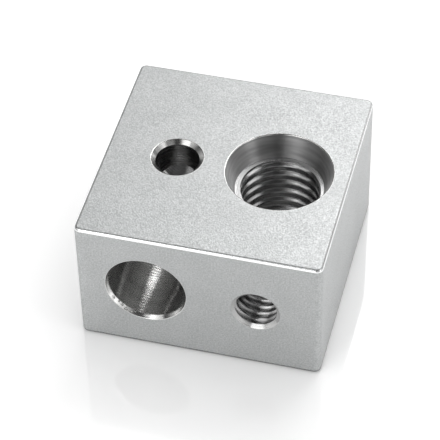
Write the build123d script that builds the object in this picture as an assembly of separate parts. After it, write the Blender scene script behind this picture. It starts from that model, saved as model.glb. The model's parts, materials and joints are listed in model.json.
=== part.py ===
from build123d import *
import math
import os

# The heater block of a filament printer's hot end, in millimetres: one piece of aluminium bar,
# drilled, countersunk and tapped, then bead blasted with its edges already broken.
# The origin is the middle of the base. Seen from the face that the cartridge goes in at,
# X runs to the right, Y runs to the back and Z is up.

# Bar
block_width = 20.0
block_depth = 20.0
block_height = 12.0
corner_radius = 0.55
edge_break = 0.25

# Cartridge bore, right through from the front face to the back
cartridge_radius = 3.0
cartridge_clearance = 0.15
cartridge_from_left = 5.7
cartridge_from_base = 6.3
cartridge_chamfer = 0.33
cartridge_chamfer_angle = 60.0

# Clamp screw hole, from the top face down into the cartridge bore
clamp_hole_radius = 1.8
clamp_hole_from_front = 9.7
clamp_hole_beside_cartridge = 0.2
clamp_hole_chamfer = 0.33

# Throat, tapped right through under a deep countersink with a flat floor
throat_thread_radius = 3.5
throat_tapping_radius = 3.2
throat_from_right = 5.7
throat_from_front = 10.0
throat_mouth_radius = 4.35
throat_countersink_depth = 1.9
throat_floor_clearance = 0.1
throat_exit_chamfer = 0.45

# Sensor screw hole, a blind tapped hole in the front face that stops short of the throat
sensor_thread_radius = 2.0
sensor_tapping_radius = 1.65
sensor_from_right = 5.3
sensor_from_base = 6.1
sensor_wall_to_throat = 0.7
sensor_countersink_angle = 118.0
drill_point_angle = 118.0

# How far a cutting tool stands out of the bar
tool_overrun = 2.0

left_side = -block_width / 2
right_side = block_width / 2
front_side = -block_depth / 2


def bar():
    """The sawn and milled bar, with upright corners rounded and every outer edge broken."""
    blank = extrude(RectangleRounded(block_width, block_depth, corner_radius), block_height)
    ends = blank.faces().filter_by(Plane.XY).edges()
    return fillet(ends, edge_break)


def cutter(steps, point=0):
    """A turned cutting tool: (radius, depth) steps down from a mouth at the origin, then its point."""
    outline = [(0, tool_overrun), (steps[0][0], tool_overrun)]
    outline += [(radius, -depth) for radius, depth in steps]
    outline += [(0, -steps[-1][1] - point)]
    profile = make_face(Plane.XZ * Polyline(*outline, close=True))
    return revolve(profile, Axis.Z)


def cartridge_bore():
    """A smooth sliding fit for the cartridge, chamfered at both mouths."""
    radius = cartridge_radius + cartridge_clearance
    mouth = radius + cartridge_chamfer * math.tan(math.radians(cartridge_chamfer_angle / 2))
    steps = [
        (mouth, 0),
        (radius, cartridge_chamfer),
        (radius, block_depth - cartridge_chamfer),
        (mouth, block_depth),
        (mouth, block_depth + tool_overrun),
    ]
    x = left_side + cartridge_from_left
    place = Plane(origin=(x, front_side, cartridge_from_base), x_dir=(1, 0, 0), z_dir=(0, -1, 0))
    return place * cutter(steps)


def clamp_hole():
    """A plain hole that ends on the cartridge bore's centre line."""
    steps = [
        (clamp_hole_radius + clamp_hole_chamfer, 0),
        (clamp_hole_radius, clamp_hole_chamfer),
        (clamp_hole_radius, block_height - cartridge_from_base),
    ]
    x = left_side + cartridge_from_left + clamp_hole_beside_cartridge
    y = front_side + clamp_hole_from_front
    return Pos(x, y, block_height) * cutter(steps)


def throat():
    """The tapped throat: a steep cone, a flat floor, the tapping bore and a chamfer below."""
    floor_radius = throat_thread_radius + throat_floor_clearance
    exit_radius = throat_tapping_radius + throat_exit_chamfer
    steps = [
        (throat_mouth_radius, 0),
        (floor_radius, throat_countersink_depth),
        (throat_tapping_radius, throat_countersink_depth),
        (throat_tapping_radius, block_height - throat_exit_chamfer),
        (exit_radius, block_height),
        (exit_radius, block_height + tool_overrun),
    ]
    x = right_side - throat_from_right
    y = front_side + throat_from_front
    return Pos(x, y, block_height) * cutter(steps)


def sensor_hole():
    """The blind tapping bore with its countersink and drill point."""
    mouth = sensor_thread_radius
    countersink = (mouth - sensor_tapping_radius) / math.tan(math.radians(sensor_countersink_angle / 2))
    point = sensor_tapping_radius / math.tan(math.radians(drill_point_angle / 2))
    tip = throat_from_front - throat_thread_radius - sensor_wall_to_throat
    steps = [
        (mouth, 0),
        (sensor_tapping_radius, countersink),
        (sensor_tapping_radius, tip - point),
    ]
    x = right_side - sensor_from_right
    place = Plane(origin=(x, front_side, sensor_from_base), x_dir=(1, 0, 0), z_dir=(0, -1, 0))
    return place * cutter(steps, point)


heater_block = bar() - cartridge_bore() - clamp_hole() - throat() - sensor_hole()

os.makedirs("parts", exist_ok=True)
export_step(heater_block, "parts/heater_block.step")
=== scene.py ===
import json
import math

import bmesh
import bpy
from mathutils import Matrix, Vector


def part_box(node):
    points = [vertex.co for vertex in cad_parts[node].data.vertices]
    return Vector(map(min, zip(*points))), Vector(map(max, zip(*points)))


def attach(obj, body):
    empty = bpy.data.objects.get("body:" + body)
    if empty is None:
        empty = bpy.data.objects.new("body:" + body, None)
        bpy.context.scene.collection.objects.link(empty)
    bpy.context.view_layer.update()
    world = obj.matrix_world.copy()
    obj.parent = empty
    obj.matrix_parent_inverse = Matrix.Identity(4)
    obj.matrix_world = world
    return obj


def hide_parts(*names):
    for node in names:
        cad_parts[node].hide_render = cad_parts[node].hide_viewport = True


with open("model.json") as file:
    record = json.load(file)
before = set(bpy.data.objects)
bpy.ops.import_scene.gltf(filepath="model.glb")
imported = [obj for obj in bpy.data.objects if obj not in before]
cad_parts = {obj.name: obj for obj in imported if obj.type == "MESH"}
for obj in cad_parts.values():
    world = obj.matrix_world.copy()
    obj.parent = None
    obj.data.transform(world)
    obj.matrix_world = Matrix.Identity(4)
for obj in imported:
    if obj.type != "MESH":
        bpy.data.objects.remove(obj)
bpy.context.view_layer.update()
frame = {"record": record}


# The bar that the block is cut from: aluminium, milled square with its upright corners rounded, and
# bead blasted to a fine satin. Its other edges are broken, and those of the top are rubbed bright
# afterwards, while those of the base are painted dark as the block's contact shadow on the floor.
mm = 0.001
low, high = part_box("heater_block")
corner_radius = 0.55 * mm
edge_break = 0.25 * mm
corner_steps = 14
break_steps = 8
blasted_steps = 3
dimple_size = 0.13 * mm
mottle_size = 2.4 * mm
mottle_share = 0.15
noise_low, noise_high = 0.3, 0.7


def placed(name, data):
    """A new object in the scene, for a mesh, lamp or camera."""
    thing = bpy.data.objects.new(name, data)
    bpy.context.scene.collection.objects.link(thing)
    return thing


def mesh_from(bm, name, metals):
    """A mesh with its metals from a bmesh, which is let go."""
    mesh = bpy.data.meshes.new(name)
    bm.to_mesh(mesh)
    bm.free()
    for metal in metals:
        mesh.materials.append(metal)
    return mesh


def bar_outline(inset):
    """The bar's plan, anticlockwise, drawn in all round by inset."""
    radius = corner_radius - inset
    points = []
    for turn, (side_x, side_y) in enumerate([(1, 1), (-1, 1), (-1, -1), (1, -1)]):
        x = (high.x if side_x > 0 else low.x) - side_x * corner_radius
        y = (high.y if side_y > 0 else low.y) - side_y * corner_radius
        for step in range(corner_steps + 1):
            angle = (turn + step / corner_steps) * math.pi / 2
            points.append((x + radius * math.cos(angle), y + radius * math.sin(angle)))
    return points


def skin_over(bm, rings):
    """Joins rings of points, one after another, into a closed skin, and returns its bands of faces."""
    loops = [[bm.verts.new(point) for point in ring] for ring in rings]
    bands = []
    for lower, upper in zip(loops, loops[1:]):
        ends = zip(lower, lower[1:] + lower[:1], upper[1:] + upper[:1], upper)
        bands.append([bm.faces.new(corners) for corners in ends])
    bm.faces.new(reversed(loops[0]))
    bm.faces.new(loops[-1])
    return bands


def join(tree, socket, value):
    """Feeds a socket from another node's output, or sets it to a value."""
    if isinstance(value, bpy.types.NodeSocket):
        tree.links.new(value, socket)
    else:
        socket.default_value = value


def new_node(tree, kind, *values, **settings):
    """A new node with its settings made and its inputs fed, in their order, from outputs or values."""
    node = tree.nodes.new(kind)
    for name, setting in settings.items():
        setattr(node, name, setting)
    for socket, value in zip(node.inputs, values):
        join(tree, socket, value)
    return node


def maths(tree, operation, *values):
    """The result of one sum in a node tree."""
    return new_node(tree, "ShaderNodeMath", *values, operation=operation).outputs[0]


def noise(tree, position, scale, detail):
    """Soft noise at a position, with about as many lumps in a metre as scale says."""
    texture = tree.nodes.new("ShaderNodeTexNoise")
    join(tree, texture.inputs["Vector"], position)
    join(tree, texture.inputs["Scale"], scale)
    join(tree, texture.inputs["Detail"], detail)
    return texture.outputs["Fac"]


def pattern_group(name, sizes):
    """An empty shader group that takes a position and some sizes and gives a height and a shade."""
    group = bpy.data.node_groups.new(name, "ShaderNodeTree")
    sockets = group.interface
    sockets.new_socket("Position", in_out="INPUT", socket_type="NodeSocketVector")
    for size in sizes:
        sockets.new_socket(size, in_out="INPUT", socket_type="NodeSocketFloat")
    for result in ("Height", "Shade"):
        sockets.new_socket(result, in_out="OUTPUT", socket_type="NodeSocketFloat")
    given = group.nodes.new("NodeGroupInput")
    result = group.nodes.new("NodeGroupOutput")
    return group, given.outputs, result.inputs


def bead_grain():
    """Peened grain: dimples that the beads leave, over a slow mottle, from a position on the block."""
    group, given, result = pattern_group("bead_grain", ("Dimple size", "Mottle size"))
    position = given["Position"]
    dimples = maths(group, "DIVIDE", 1.0, given["Dimple size"])
    mottles = maths(group, "DIVIDE", 1.0, given["Mottle size"])
    mix = group.nodes.new("ShaderNodeMix")
    join(group, mix.inputs["Factor"], mottle_share)
    join(group, mix.inputs["A"], noise(group, position, dimples, 1.0))
    join(group, mix.inputs["B"], noise(group, position, mottles, 3.0))
    join(group, result["Height"], noise(group, position, dimples, 2.0))
    join(group, result["Shade"], mix.outputs["Result"])
    return group


def aluminium(name, colour, roughness):
    """A bare metal surface, and its shader for the finish to be added to."""
    metal = bpy.data.materials.new(name)
    metal.use_nodes = True
    shader = metal.node_tree.nodes["Principled BSDF"]
    shader.inputs["Base Color"].default_value = (*colour, 1)
    shader.inputs["Metallic"].default_value = 1.0
    shader.inputs["Roughness"].default_value = roughness
    return metal, shader


def pattern(tree, group, **inputs):
    """Places a pattern's shader group in a material, with its own position and sizes."""
    node = new_node(tree, "ShaderNodeGroup", node_tree=group)
    for name, value in inputs.items():
        join(tree, node.inputs[name.replace("_", " ").capitalize()], value)
    return node


def between(tree, factor, first, second):
    """A value or colour that runs from first to second over the middle of the noise's range."""
    ramp = new_node(tree, "ShaderNodeValToRGB", factor)
    for stop, level, value in zip(ramp.color_ramp.elements, (noise_low, noise_high), (first, second)):
        stop.position = level
        stop.color = (*value, 1) if isinstance(value, tuple) else (value, value, value, 1)
    return ramp.outputs["Color"]


def surface(tree, shader, marks, dark, light, smooth, rough, depth):
    """Gives a metal a pattern's marks: its greys, its roughnesses, and its relief, depth deep in metres."""
    shade = marks.outputs["Shade"]
    join(tree, shader.inputs["Base Color"], between(tree, shade, dark, light))
    join(tree, shader.inputs["Roughness"], between(tree, shade, rough, smooth))
    bump = tree.nodes.new("ShaderNodeBump")
    join(tree, bump.inputs["Strength"], 1.0)
    join(tree, bump.inputs["Distance"], depth)
    join(tree, bump.inputs["Height"], marks.outputs["Height"])
    join(tree, shader.inputs["Normal"], bump.outputs["Normal"])


grain = bead_grain()


def blasted(name, dark, light, smooth, rough, depth):
    """The blasted finish, between two greys and two roughnesses."""
    metal, shader = aluminium(name, light, rough)
    tree = metal.node_tree
    point = tree.nodes.new("ShaderNodeTexCoord").outputs["Object"]
    beads = pattern(tree, grain, position=point, dimple_size=dimple_size, mottle_size=mottle_size)
    surface(tree, shader, beads, dark, light, smooth, rough, depth)
    return metal


blasted_skin = blasted("blasted_skin", (0.40, 0.41, 0.41), (0.55, 0.56, 0.56), 0.38, 0.50, 0.014 * mm)
# The base's edge break is painted dark: painted contact shadow where the block meets the floor
painted_shadow_edge = blasted("painted_shadow_edge", (0.11, 0.12, 0.12), (0.18, 0.19, 0.19), 0.36, 0.46, 0.004 * mm)
rubbed_edge = blasted("rubbed_edge", (0.82, 0.83, 0.83), (0.88, 0.89, 0.89), 0.16, 0.24, 0.001 * mm)

levels = []
for step in range(break_steps + 1):
    angle = step / break_steps * math.pi / 2
    levels.append((edge_break * (1 - math.sin(angle)), edge_break * (1 - math.cos(angle))))
rings = [[(x, y, low.z + rise) for x, y in bar_outline(inset)] for inset, rise in levels]
rings += [[(x, y, high.z - rise) for x, y in bar_outline(inset)] for inset, rise in reversed(levels)]
bm = bmesh.new()
bands = skin_over(bm, rings)
# The base's edge takes the painted contact shadow, and the top's the rubbed bright metal
base_edge = bands[:break_steps]
# The blasting still covers the first steps below the top face
top_edge = bands[-break_steps:-blasted_steps]
for number, edge in enumerate((base_edge, top_edge), start=1):
    for band in edge:
        for face in band:
            face.material_index = number
block = placed("bored_block", mesh_from(bm, "bar", (blasted_skin, painted_shadow_edge, rubbed_edge)))


# The cartridge bore, drilled right through from the front face with a 60 degree chamfer at each mouth,
# and reamed but for its last stretch, whose metal is painted near black as painted shade deep in the bore.
# The cutter leaves fine rings in the bare metal, and the reamed wall is bright between them.
overrun = 1.0 * mm
turned_steps = 192
ease_steps = 5
# How many times in a metre the chatter changes round the cut, and how shallow a furrow may get
slow_round = 250.0
least_furrow = 0.4
# Turns a highlight's stretch across the grooves
quarter_turn = 0.25
mounts = {mount["name"]: mount for mount in frame["record"]["mounts"]}
front_turn = Matrix.Rotation(math.pi / 2, 4, "X")
cuts = []


def turning_marks():
    """Rings that a cutter leaves round its axis, from a position whose Z runs along that axis."""
    group, given, result = pattern_group("turning_marks", ("Feed", "Chatter"))

    def of(operation, *values):
        return maths(group, operation, *values)

    x, y, z = new_node(group, "ShaderNodeSeparateXYZ", given["Position"]).outputs
    radius = of("SQRT", of("ADD", of("MULTIPLY", x, x), of("MULTIPLY", y, y)))
    # Along a bore this runs with the depth, and across a flat floor with the radius
    along = of("SUBTRACT", z, radius)
    # The chatter changes fast along the cut and slowly round it
    spot = new_node(group, "ShaderNodeCombineXYZ", of("MULTIPLY", x, slow_round),
                    of("MULTIPLY", y, slow_round), of("DIVIDE", along, given["Chatter"]))
    chatter = noise(group, spot.outputs[0], 1.0, 1.0)
    # The tool leaves a furrow at each feed, of uneven depth and not quite evenly spaced
    turn = of("MULTIPLY", of("DIVIDE", along, given["Feed"]), 2 * math.pi)
    furrow = of("SINE", of("ADD", turn, chatter))
    join(group, result["Height"], of("MULTIPLY", furrow, of("ADD", chatter, least_furrow)))
    join(group, result["Shade"], chatter)
    return group


turning = turning_marks()


def machined(name, place, dark, light, smooth, rough, feed, chatter, depth, stretch=0.85):
    """Bare machined metal with its rings round the axis of the cut, which place gives."""
    metal, shader = aluminium(name, light, rough)
    tree = metal.node_tree
    point = tree.nodes.new("ShaderNodeTexCoord").outputs["Object"]
    centre = place.to_translation()
    axis = new_node(tree, "ShaderNodeMapping", point, centre, place.to_euler(), vector_type="TEXTURE")
    # The grooves run round the cut, so that a highlight is drawn out along it
    outward = new_node(tree, "ShaderNodeVectorMath", point, centre, operation="SUBTRACT")
    groove = new_node(tree, "ShaderNodeVectorMath", place.to_3x3() @ Vector((0, 0, 1)),
                      outward.outputs[0], operation="CROSS_PRODUCT")
    join(tree, shader.inputs["Tangent"], groove.outputs[0])
    shader.inputs["Anisotropic"].default_value = stretch
    shader.inputs["Anisotropic Rotation"].default_value = quarter_turn
    marks = pattern(tree, turning, position=axis.outputs["Vector"], feed=feed, chatter=chatter)
    surface(tree, shader, marks, dark, light, smooth, rough, depth)
    return metal


def turned_cutter(name, steps, place, zones):
    """Adds a closed cutter, from (radius, depth) steps down from its mouth, to the cuts.

    It leaves behind the metals in zones, which are (metal, depth) down to the depth that each ends at."""
    bm = bmesh.new()
    rings = []
    levels = list(reversed([(steps[0][0], -overrun)] + steps))
    for radius, depth in levels:
        ring = []
        for step in range(turned_steps):
            angle = step / turned_steps * 2 * math.pi
            ring.append(place @ Vector((radius * math.cos(angle), radius * math.sin(angle), -depth)))
        rings.append(ring)
    bands = skin_over(bm, rings)
    for band, (_, lower), (_, upper) in zip(bands, levels, levels[1:]):
        middle = (lower + upper) / 2
        zone = next((number for number, (_, end) in enumerate(zones) if middle <= end), len(zones) - 1)
        for face in band:
            face.material_index = zone
    bmesh.ops.recalc_face_normals(bm, faces=bm.faces)
    cuts.append(placed(name, mesh_from(bm, name, [metal for metal, _ in zones])))


def eased(radius, lean, ease):
    """The (radius, depth) steps of an arris rounded by ease, from a face down to a wall that leans."""
    turn = math.pi / 2 - lean
    inset = ease * math.tan(turn / 2)
    steps = []
    for step in range(ease_steps + 1):
        angle = turn * step / ease_steps
        steps.append((radius + inset - ease * math.sin(angle), ease - ease * math.cos(angle)))
    return steps


cartridge_radius = mounts["cartridge_bore"]["dims"]["r_mm"] * mm
cartridge_axis = Vector(mounts["cartridge_bore"]["pos_m"])
cartridge_chamfer = 0.33 * mm
cartridge_lean = math.radians(30)
cartridge_ease = 0.06 * mm
reamed_depth = 15.3 * mm
cartridge_mouth = cartridge_radius + cartridge_chamfer * math.tan(cartridge_lean)
depth = high.y - low.y
cartridge_place = Matrix.Translation((cartridge_axis.x, low.y, cartridge_axis.z)) @ front_turn
bore_rings = {"feed": 0.29 * mm, "chatter": 0.5 * mm}
fine_rings = {"feed": 0.12 * mm, "chatter": 0.3 * mm, "depth": 0.002 * mm}
reamed = machined("reamed_bore", cartridge_place, (0.62, 0.62, 0.61), (0.76, 0.76, 0.75), 0.25, 0.27,
                  depth=0.0045 * mm, **bore_rings)
# The bore's last stretch is painted near black: painted shade deep in the bore
painted_shade_deep = machined("bore_end_painted_shade", cartridge_place, (0.06, 0.06, 0.06), (0.10, 0.10, 0.10),
                        0.22, 0.28, depth=0.006 * mm, **bore_rings)
chamfered = machined("chamfered_mouth", cartridge_place, (0.62, 0.62, 0.61), (0.78, 0.78, 0.77),
                     0.18, 0.24, **fine_rings)
turned_cutter("cartridge_bore", [
    *eased(cartridge_mouth, cartridge_lean, cartridge_ease),
    (cartridge_radius, cartridge_chamfer),
    (cartridge_radius, reamed_depth),
    (cartridge_radius, depth - cartridge_chamfer),
    (cartridge_mouth, depth),
    (cartridge_mouth, depth + overrun),
], cartridge_place, [
    (chamfered, cartridge_chamfer),
    (reamed, reamed_depth),
    (painted_shade_deep, depth - cartridge_chamfer),
    (chamfered, depth),
])


# The lower lip of the cartridge bore, nicked where its burr was knocked off: a few shallow dents in the
# chamfer's bare metal, from 0.2 to 0.5 mm long.
nick_fineness = 3
# Each nick's bearing round the mouth in degrees, then its depth below the face, its half length along
# the lip, its half width and its half thickness, in mm
nicks = [
    (211, 0.19, 0.20, 0.09, 0.06),
    (222, 0.26, 0.12, 0.09, 0.08),
    (229, 0.22, 0.16, 0.12, 0.10),
    (237, 0.10, 0.15, 0.16, 0.10),
    (244, 0.13, 0.24, 0.14, 0.08),
    (251, 0.24, 0.12, 0.08, 0.05),
]
for number, (bearing, down, along, across, thick) in enumerate(nicks):
    bm = bmesh.new()
    bmesh.ops.create_icosphere(bm, subdivisions=nick_fineness, radius=1.0)
    turn = Matrix.Rotation(math.radians(bearing), 4, "Z")
    lip = Vector((cartridge_mouth - down * math.tan(cartridge_lean) * mm, 0, -down * mm))
    lean = Matrix.Rotation(math.pi / 2 - cartridge_lean, 4, "Y")
    size = Matrix.Diagonal((across * mm, along * mm, thick * mm, 1))
    dent = cartridge_place @ turn @ Matrix.Translation(lip) @ lean @ size
    bmesh.ops.transform(bm, verts=bm.verts, matrix=dent)
    nick = f"nick_{number}"
    cuts.append(placed(nick, mesh_from(bm, nick, [chamfered])))


# The clamp hole, drilled from the top face down into the cartridge bore and chamfered, all in the
# bare metal of the block, with its drilled wall painted near black as painted shade down the hole.
# A screw through it bears on the cartridge.
clamp_radius = mounts["clamp_hole"]["dims"]["r_mm"] * mm
clamp_axis = Vector(mounts["clamp_hole"]["pos_m"])
clamp_chamfer = 0.33 * mm
clamp_lean = math.radians(45)
clamp_ease = 0.14 * mm
clamp_place = Matrix.Translation((clamp_axis.x, clamp_axis.y, high.z))
# The drilled wall's near-black greys are painted shade down the hole
drilled = machined("drilled_hole_painted_shade", clamp_place, (0.11, 0.11, 0.11), (0.17, 0.17, 0.17), 0.25, 0.30,
                   feed=0.25 * mm, chatter=0.3 * mm, depth=0.006 * mm)
countersunk = machined("countersunk_rim", clamp_place, (0.54, 0.54, 0.53), (0.70, 0.70, 0.69),
                       0.18, 0.24, **fine_rings)
turned_cutter("clamp_hole", [
    *eased(clamp_radius + clamp_chamfer, clamp_lean, clamp_ease),
    (clamp_radius, clamp_chamfer),
    (clamp_radius, high.z - cartridge_axis.z),
], clamp_place, [(countersunk, clamp_chamfer), (drilled, high.z)])


# The throat, bored and tapped right through the block's bare metal, under a steep countersink with a
# flat floor, and chamfered below. Its thread is a groove cut by a tap along a right-hand helix.
throat_radius = mounts["throat_thread"]["dims"]["r_mm"] * mm
throat_axis = Vector(mounts["throat_thread"]["pos_m"])
throat_root = 3.5 * mm
throat_mouth = 4.35 * mm
throat_floor = 3.6 * mm
throat_sink = 1.9 * mm
throat_lean = math.atan((throat_mouth - throat_floor) / throat_sink)
throat_ease = 0.12 * mm
throat_exit = 0.45 * mm
throat_pitch = 1.0 * mm
throat_turns = 12.5
throat_start = -1.02 * mm
height = high.z - low.z
# Parts the cone's metal from the floor's, which lie at one depth
hair = 0.01 * mm
throat_place = Matrix.Translation((throat_axis.x, throat_axis.y, high.z))
tool_rings = {"feed": 0.2 * mm, "chatter": 0.25 * mm}
bored = machined("bored_throat", throat_place, (0.36, 0.36, 0.36), (0.60, 0.60, 0.60), 0.20, 0.25,
                 depth=0.002 * mm, **tool_rings)
bored_cone = machined("bored_cone", throat_place, (0.28, 0.28, 0.28), (0.44, 0.44, 0.44), 0.44, 0.52,
                      depth=0.004 * mm, stretch=0.95, **tool_rings)
bored_rim = machined("bored_rim", throat_place, (0.58, 0.58, 0.57), (0.72, 0.72, 0.71), 0.20, 0.27,
                     **fine_rings)
bored_floor = machined("bored_floor", throat_place, (0.36, 0.36, 0.36), (0.50, 0.50, 0.50), 0.24, 0.30,
                       **fine_rings)
turned_cutter("throat", [
    *eased(throat_mouth, throat_lean, throat_ease),
    (throat_floor, throat_sink),
    (throat_radius, throat_sink),
    (throat_radius, height - throat_exit),
    (throat_radius + throat_exit, height),
    (throat_radius + throat_exit, height + overrun),
], throat_place, [
    (bored_rim, throat_ease),
    (bored_cone, throat_sink - hair),
    (bored_floor, throat_sink + hair),
    (bored, height - throat_exit),
    (bored_rim, height),
])

tap_steps = 96
root_round_steps = 4
tap_proud = 0.12 * mm
flank_lean = math.radians(30)
burr = 0.04 * mm


def tap_cut():
    """The node tree for a tap's cut: a closed groove section that follows a right-hand helix."""
    tree = bpy.data.node_groups.new("tap_cut", "GeometryNodeTree")
    sockets = tree.interface
    for name in (
        "Crest radius", "Depth", "Mouth half width", "Root half width", "Root round", "Pitch", "Turns",
    ):
        sockets.new_socket(name, in_out="INPUT", socket_type="NodeSocketFloat")
    sockets.new_socket("Steps a turn", in_out="INPUT", socket_type="NodeSocketInt")
    sockets.new_socket("Metal", in_out="INPUT", socket_type="NodeSocketMaterial")
    sockets.new_socket("Geometry", in_out="OUTPUT", socket_type="NodeSocketGeometry")
    given = tree.nodes.new("NodeGroupInput").outputs
    result = tree.nodes.new("NodeGroupOutput").inputs

    helix = tree.nodes.new("GeometryNodeCurveSpiral")
    join(tree, helix.inputs["Resolution"], given["Steps a turn"])
    join(tree, helix.inputs["Rotations"], given["Turns"])
    join(tree, helix.inputs["Start Radius"], given["Crest radius"])
    join(tree, helix.inputs["End Radius"], given["Crest radius"])
    join(tree, helix.inputs["Height"], maths(tree, "MULTIPLY", given["Pitch"], given["Turns"]))
    upright = new_node(tree, "GeometryNodeSetCurveNormal", mode="Z_UP")
    join(tree, upright.inputs["Curve"], helix.outputs[0])

    # The section stands proud of the crests, widening at the flanks' slope, so that it cuts them through
    wide, narrow, deep = (given[name] for name in ("Mouth half width", "Root half width", "Depth"))
    slope = maths(tree, "DIVIDE", maths(tree, "SUBTRACT", wide, narrow), deep)
    outer = maths(tree, "ADD", wide, maths(tree, "MULTIPLY", slope, tap_proud))
    bottom = maths(tree, "MULTIPLY", deep, -1.0)
    corners = [
        (tap_proud, outer),
        (bottom, narrow),
        (bottom, maths(tree, "MULTIPLY", narrow, -1.0)),
        (tap_proud, maths(tree, "MULTIPLY", outer, -1.0)),
    ]
    section = new_node(tree, "GeometryNodeCurvePrimitiveQuadrilateral", mode="POINTS")
    for number, corner in enumerate(corners, start=1):
        point = new_node(tree, "ShaderNodeCombineXYZ", *corner)
        join(tree, section.inputs[f"Point {number}"], point.outputs[0])
    rounded = new_node(tree, "GeometryNodeFilletCurve", mode="POLY")
    join(tree, rounded.inputs["Curve"], section.outputs[0])
    join(tree, rounded.inputs["Radius"], given["Root round"])
    join(tree, rounded.inputs["Count"], root_round_steps)
    join(tree, rounded.inputs["Limit Radius"], True)

    sweep = tree.nodes.new("GeometryNodeCurveToMesh")
    join(tree, sweep.inputs["Curve"], upright.outputs[0])
    join(tree, sweep.inputs["Profile Curve"], rounded.outputs[0])
    join(tree, sweep.inputs["Fill Caps"], True)
    single = new_node(tree, "GeometryNodeRealizeInstances", sweep.outputs[0])
    coat = tree.nodes.new("GeometryNodeSetMaterial")
    join(tree, coat.inputs["Geometry"], single.outputs[0])
    join(tree, coat.inputs["Material"], given["Metal"])
    join(tree, result["Geometry"], coat.outputs[0])
    return tree


tap = tap_cut()


def settle(thing):
    """Turns what an object's modifiers make of it into its own plain mesh."""
    bpy.context.view_layer.update()
    shaped = thing.evaluated_get(bpy.context.evaluated_depsgraph_get())
    mesh = bpy.data.meshes.new_from_object(shaped)
    thing.modifiers.clear()
    thing.data = mesh


def tapped(name, crest, root, pitch, turns, place, metal):
    """Cuts a thread: first the groove with sixty degree flanks, then a light cut that takes off its burr."""
    deep = root - crest
    # The groove's floor is an eighth of the pitch wide
    narrow = pitch / 16
    wide = narrow + deep * math.tan(flank_lean)
    # The light cut bevels the crest on both sides of the groove's mouth
    bevel_mouth, bevel_root = wide + 1.2 * burr, wide - 0.4 * burr
    sockets = {item.name: item.identifier for item in tap.interface.items_tree if item.in_out == "INPUT"}
    for label, depth, mouth, floor, rounding in [
        ("groove", deep, wide, narrow, pitch / 12),
        ("burr", burr, bevel_mouth, bevel_root, 0.0),
    ]:
        cutter = placed(f"{name}_{label}", bpy.data.meshes.new(f"{name}_{label}"))
        cut = cutter.modifiers.new("cut", "NODES")
        cut.node_group = tap
        for socket, value in {
            "Crest radius": crest,
            "Depth": depth,
            "Mouth half width": mouth,
            "Root half width": floor,
            "Root round": rounding,
            "Pitch": pitch,
            "Turns": turns,
            "Steps a turn": tap_steps,
            "Metal": metal,
        }.items():
            cut[sockets[socket]] = value
        settle(cutter)
        cutter.data.transform(place)
        cuts.append(cutter)


tapped("throat_thread", throat_radius, throat_root, throat_pitch, throat_turns,
       Matrix.Translation((throat_axis.x, throat_axis.y, throat_start)), bored)


# The sensor screw hole, drilled into the front face, countersunk with a drill's point and tapped, all
# in bare metal. It is blind, and ends in the drill's own point short of the throat.
sensor_radius = mounts["sensor_screw"]["dims"]["r_mm"] * mm
sensor_axis = Vector(mounts["sensor_screw"]["pos_m"])
sensor_root = 2.0 * mm
drill_lean = math.radians(59)
drill_tip = 0.02 * mm
sensor_sink = (sensor_root - sensor_radius) / math.tan(drill_lean)
sensor_ease = 0.06 * mm
sensor_depth = sensor_sink + mounts["sensor_screw"]["dims"]["length_mm"] * mm
sensor_pitch = 0.7 * mm
sensor_turns = 6.5
sensor_end = 0.6 * mm
sensor_place = Matrix.Translation((sensor_axis.x, low.y, sensor_axis.z)) @ front_turn
small_tapped = machined("tapped_hole", sensor_place, (0.38, 0.38, 0.38), (0.52, 0.52, 0.52), 0.23, 0.28,
                        depth=0.002 * mm, **tool_rings)
sensor_rim = machined("sensor_rim", sensor_place, (0.44, 0.44, 0.44), (0.58, 0.58, 0.57), 0.18, 0.24,
                      **fine_rings)
turned_cutter("sensor_hole", [
    *eased(sensor_root, drill_lean, sensor_ease),
    (sensor_radius, sensor_sink),
    (sensor_radius, sensor_depth),
    (drill_tip, sensor_depth + sensor_radius / math.tan(drill_lean)),
], sensor_place, [(sensor_rim, sensor_sink), (small_tapped, sensor_depth)])
tapped("sensor_thread", sensor_radius, sensor_root, sensor_pitch, sensor_turns,
       sensor_place @ Matrix.Translation((0, 0, sensor_end - sensor_depth)), small_tapped)


# The block as it comes off the machine: every cut is taken out of the bar at once, its arrises stay
# sharp and its round walls smooth. It is one piece of aluminium and stands for the whole CAD block.
arris_angle = math.radians(25)
same_point = 0.001 * mm
for cutter in cuts:
    cut = block.modifiers.new(cutter.name, "BOOLEAN")
    cut.operation = "DIFFERENCE"
    cut.solver = "MANIFOLD"
    cut.material_mode = "TRANSFER"
    cut.object = cutter
settle(block)
for cutter in cuts:
    bpy.data.objects.remove(cutter)
# Points that two cuts left on top of each other become one
bm = bmesh.new()
bm.from_mesh(block.data)
bmesh.ops.remove_doubles(bm, verts=bm.verts, dist=same_point)
bm.to_mesh(block.data)
bm.free()
block.data.shade_smooth()
block.data.set_sharp_from_angle(angle=arris_angle)
even = block.modifiers.new("even", "WEIGHTED_NORMAL")
even.keep_sharp = True
even.weight = 100
settle(block)
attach(block, "root")
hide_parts("heater_block")


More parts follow.
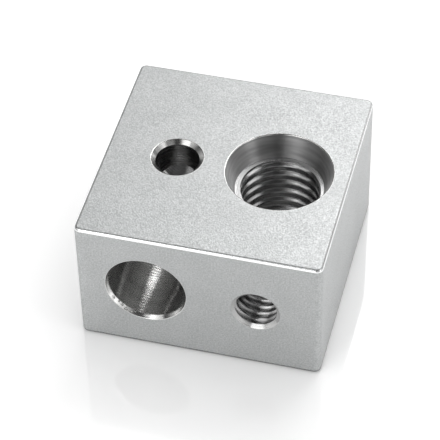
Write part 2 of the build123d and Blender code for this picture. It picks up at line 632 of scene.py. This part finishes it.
# The floor: a sheet of polished white acrylic that the block stands on, open at its edges. It shows
# as plain white to the camera and in the metal, and keeps the block's shadow and reflection.
reach = 1.0
under = 0.02 * mm
shelter = 9 * mm
shelter_samples = 8
glow_level = 0.43
floor_mesh = bpy.data.meshes.new("floor")
corners = [(-reach, -reach, 0), (reach, -reach, 0), (reach, reach, 0), (-reach, reach, 0)]
floor_mesh.from_pydata(corners, [], [(0, 1, 2, 3)])
floor = placed("floor", floor_mesh)
floor.location.z = low.z - under
white_sheet = bpy.data.materials.new("white_sheet")
white_sheet.use_nodes = True
tree = white_sheet.node_tree
sheet = tree.nodes["Principled BSDF"]
sheet.inputs["Base Color"].default_value = (0.9, 0.9, 0.9, 1)
sheet.inputs["Roughness"].default_value = 0.06
sheet.inputs["Specular IOR Level"].default_value = 1.0
sheet.inputs["Emission Color"].default_value = (1, 1, 1, 1)
path = tree.nodes.new("ShaderNodeLightPath").outputs
seen = path["Is Camera Ray"]
for ray in ("Is Glossy Ray", "Is Transmission Ray"):
    seen = maths(tree, "MAXIMUM", seen, path[ray])
# The room's own light reaches the sheet less where the block stands close over it
open_sky = new_node(tree, "ShaderNodeAmbientOcclusion", samples=shelter_samples)
open_sky.inputs["Distance"].default_value = shelter
glow = maths(tree, "MULTIPLY", maths(tree, "MULTIPLY", seen, open_sky.outputs["AO"]), glow_level)
join(tree, sheet.inputs["Emission Strength"], glow)
floor.data.materials.append(white_sheet)


# The studio: a dim room whose walls are pale low down, with softboxes round the block. The back ones
# light the top, the left and right ones the walls of the holes, and the front ones the rims and edges.
wall_foot, wall_top = 0.05, 0.42
wall_level, room_level = 0.75, 0.06
room = bpy.data.worlds.new("room")
room.use_nodes = True
tree = room.node_tree
toward = new_node(tree, "ShaderNodeSeparateXYZ", tree.nodes.new("ShaderNodeTexCoord").outputs["Generated"])
wall = new_node(tree, "ShaderNodeMapRange", toward.outputs["Z"], wall_foot, wall_top, wall_level, room_level)
tree.nodes["Background"].inputs["Color"].default_value = (1, 1, 1, 1)
join(tree, tree.nodes["Background"].inputs["Strength"], wall.outputs["Result"])
bpy.context.scene.world = room

box_distance = 0.35
# Each box's bearing and rise as the block sees it, in degrees, its width and height in metres, and how
# many times as bright as white it is
softboxes = [
    ("left_box", 205, 49, 0.18, 0.18, 1.0),
    ("front_left_box", 239, 46, 0.16, 0.18, 2.0),
    ("low_front_left_box", 256, 18, 0.20, 0.17, 1.8),
    ("front_right_box", 312, 36, 0.15, 0.15, 0.7),
    ("right_front_box", 343, 22, 0.13, 0.22, 1.3),
    ("high_right_box", 0, 51, 0.16, 0.16, 1.3),
    ("right_box", 15, 28, 0.18, 0.18, 0.5),
    ("edge_box", 52, 30, 0.06, 0.20, 1.2),
    ("back_box", 79, 48, 0.16, 0.16, 3.9),
    ("back_left_box", 106, 51, 0.20, 0.28, 1.1),
]
for name, bearing, rise, width, tall, level in softboxes:
    lamp = bpy.data.lights.new(name, "AREA")
    lamp.shape = "RECTANGLE"
    lamp.size = width
    lamp.size_y = tall
    lamp.energy = level * math.pi * width * tall
    turn = Matrix.Rotation(math.radians(bearing), 4, "Z") @ Matrix.Rotation(math.radians(-rise), 4, "Y")
    stand = turn @ Vector((box_distance, 0, 0))
    box = placed(name, lamp)
    box.location = stand
    box.rotation_euler = (-stand).to_track_quat("-Z", "Y").to_euler()


# The camera, a long lens at the photo's angle: it looks down on the block's top and front face, from a
# little to the right, and is rolled as the photo is.
view = bpy.data.cameras.new("view")
view.sensor_width = 36
view.lens = 175.94
view.clip_start = 0.01
camera_place = Vector((32.236, -119.87, 132.538)) * mm
camera_aim = Vector((-0.542, -0.742, 6.0)) * mm
camera_roll = math.radians(-1.4506)
camera_turn = (camera_aim - camera_place).to_track_quat("-Z", "Y").to_matrix().to_4x4()
camera = placed("camera", view)
camera.matrix_world = Matrix.Translation(camera_place) @ camera_turn @ Matrix.Rotation(camera_roll, 4, "Z")
bpy.context.scene.camera = camera
bpy.context.scene.view_settings.view_transform = "Standard"
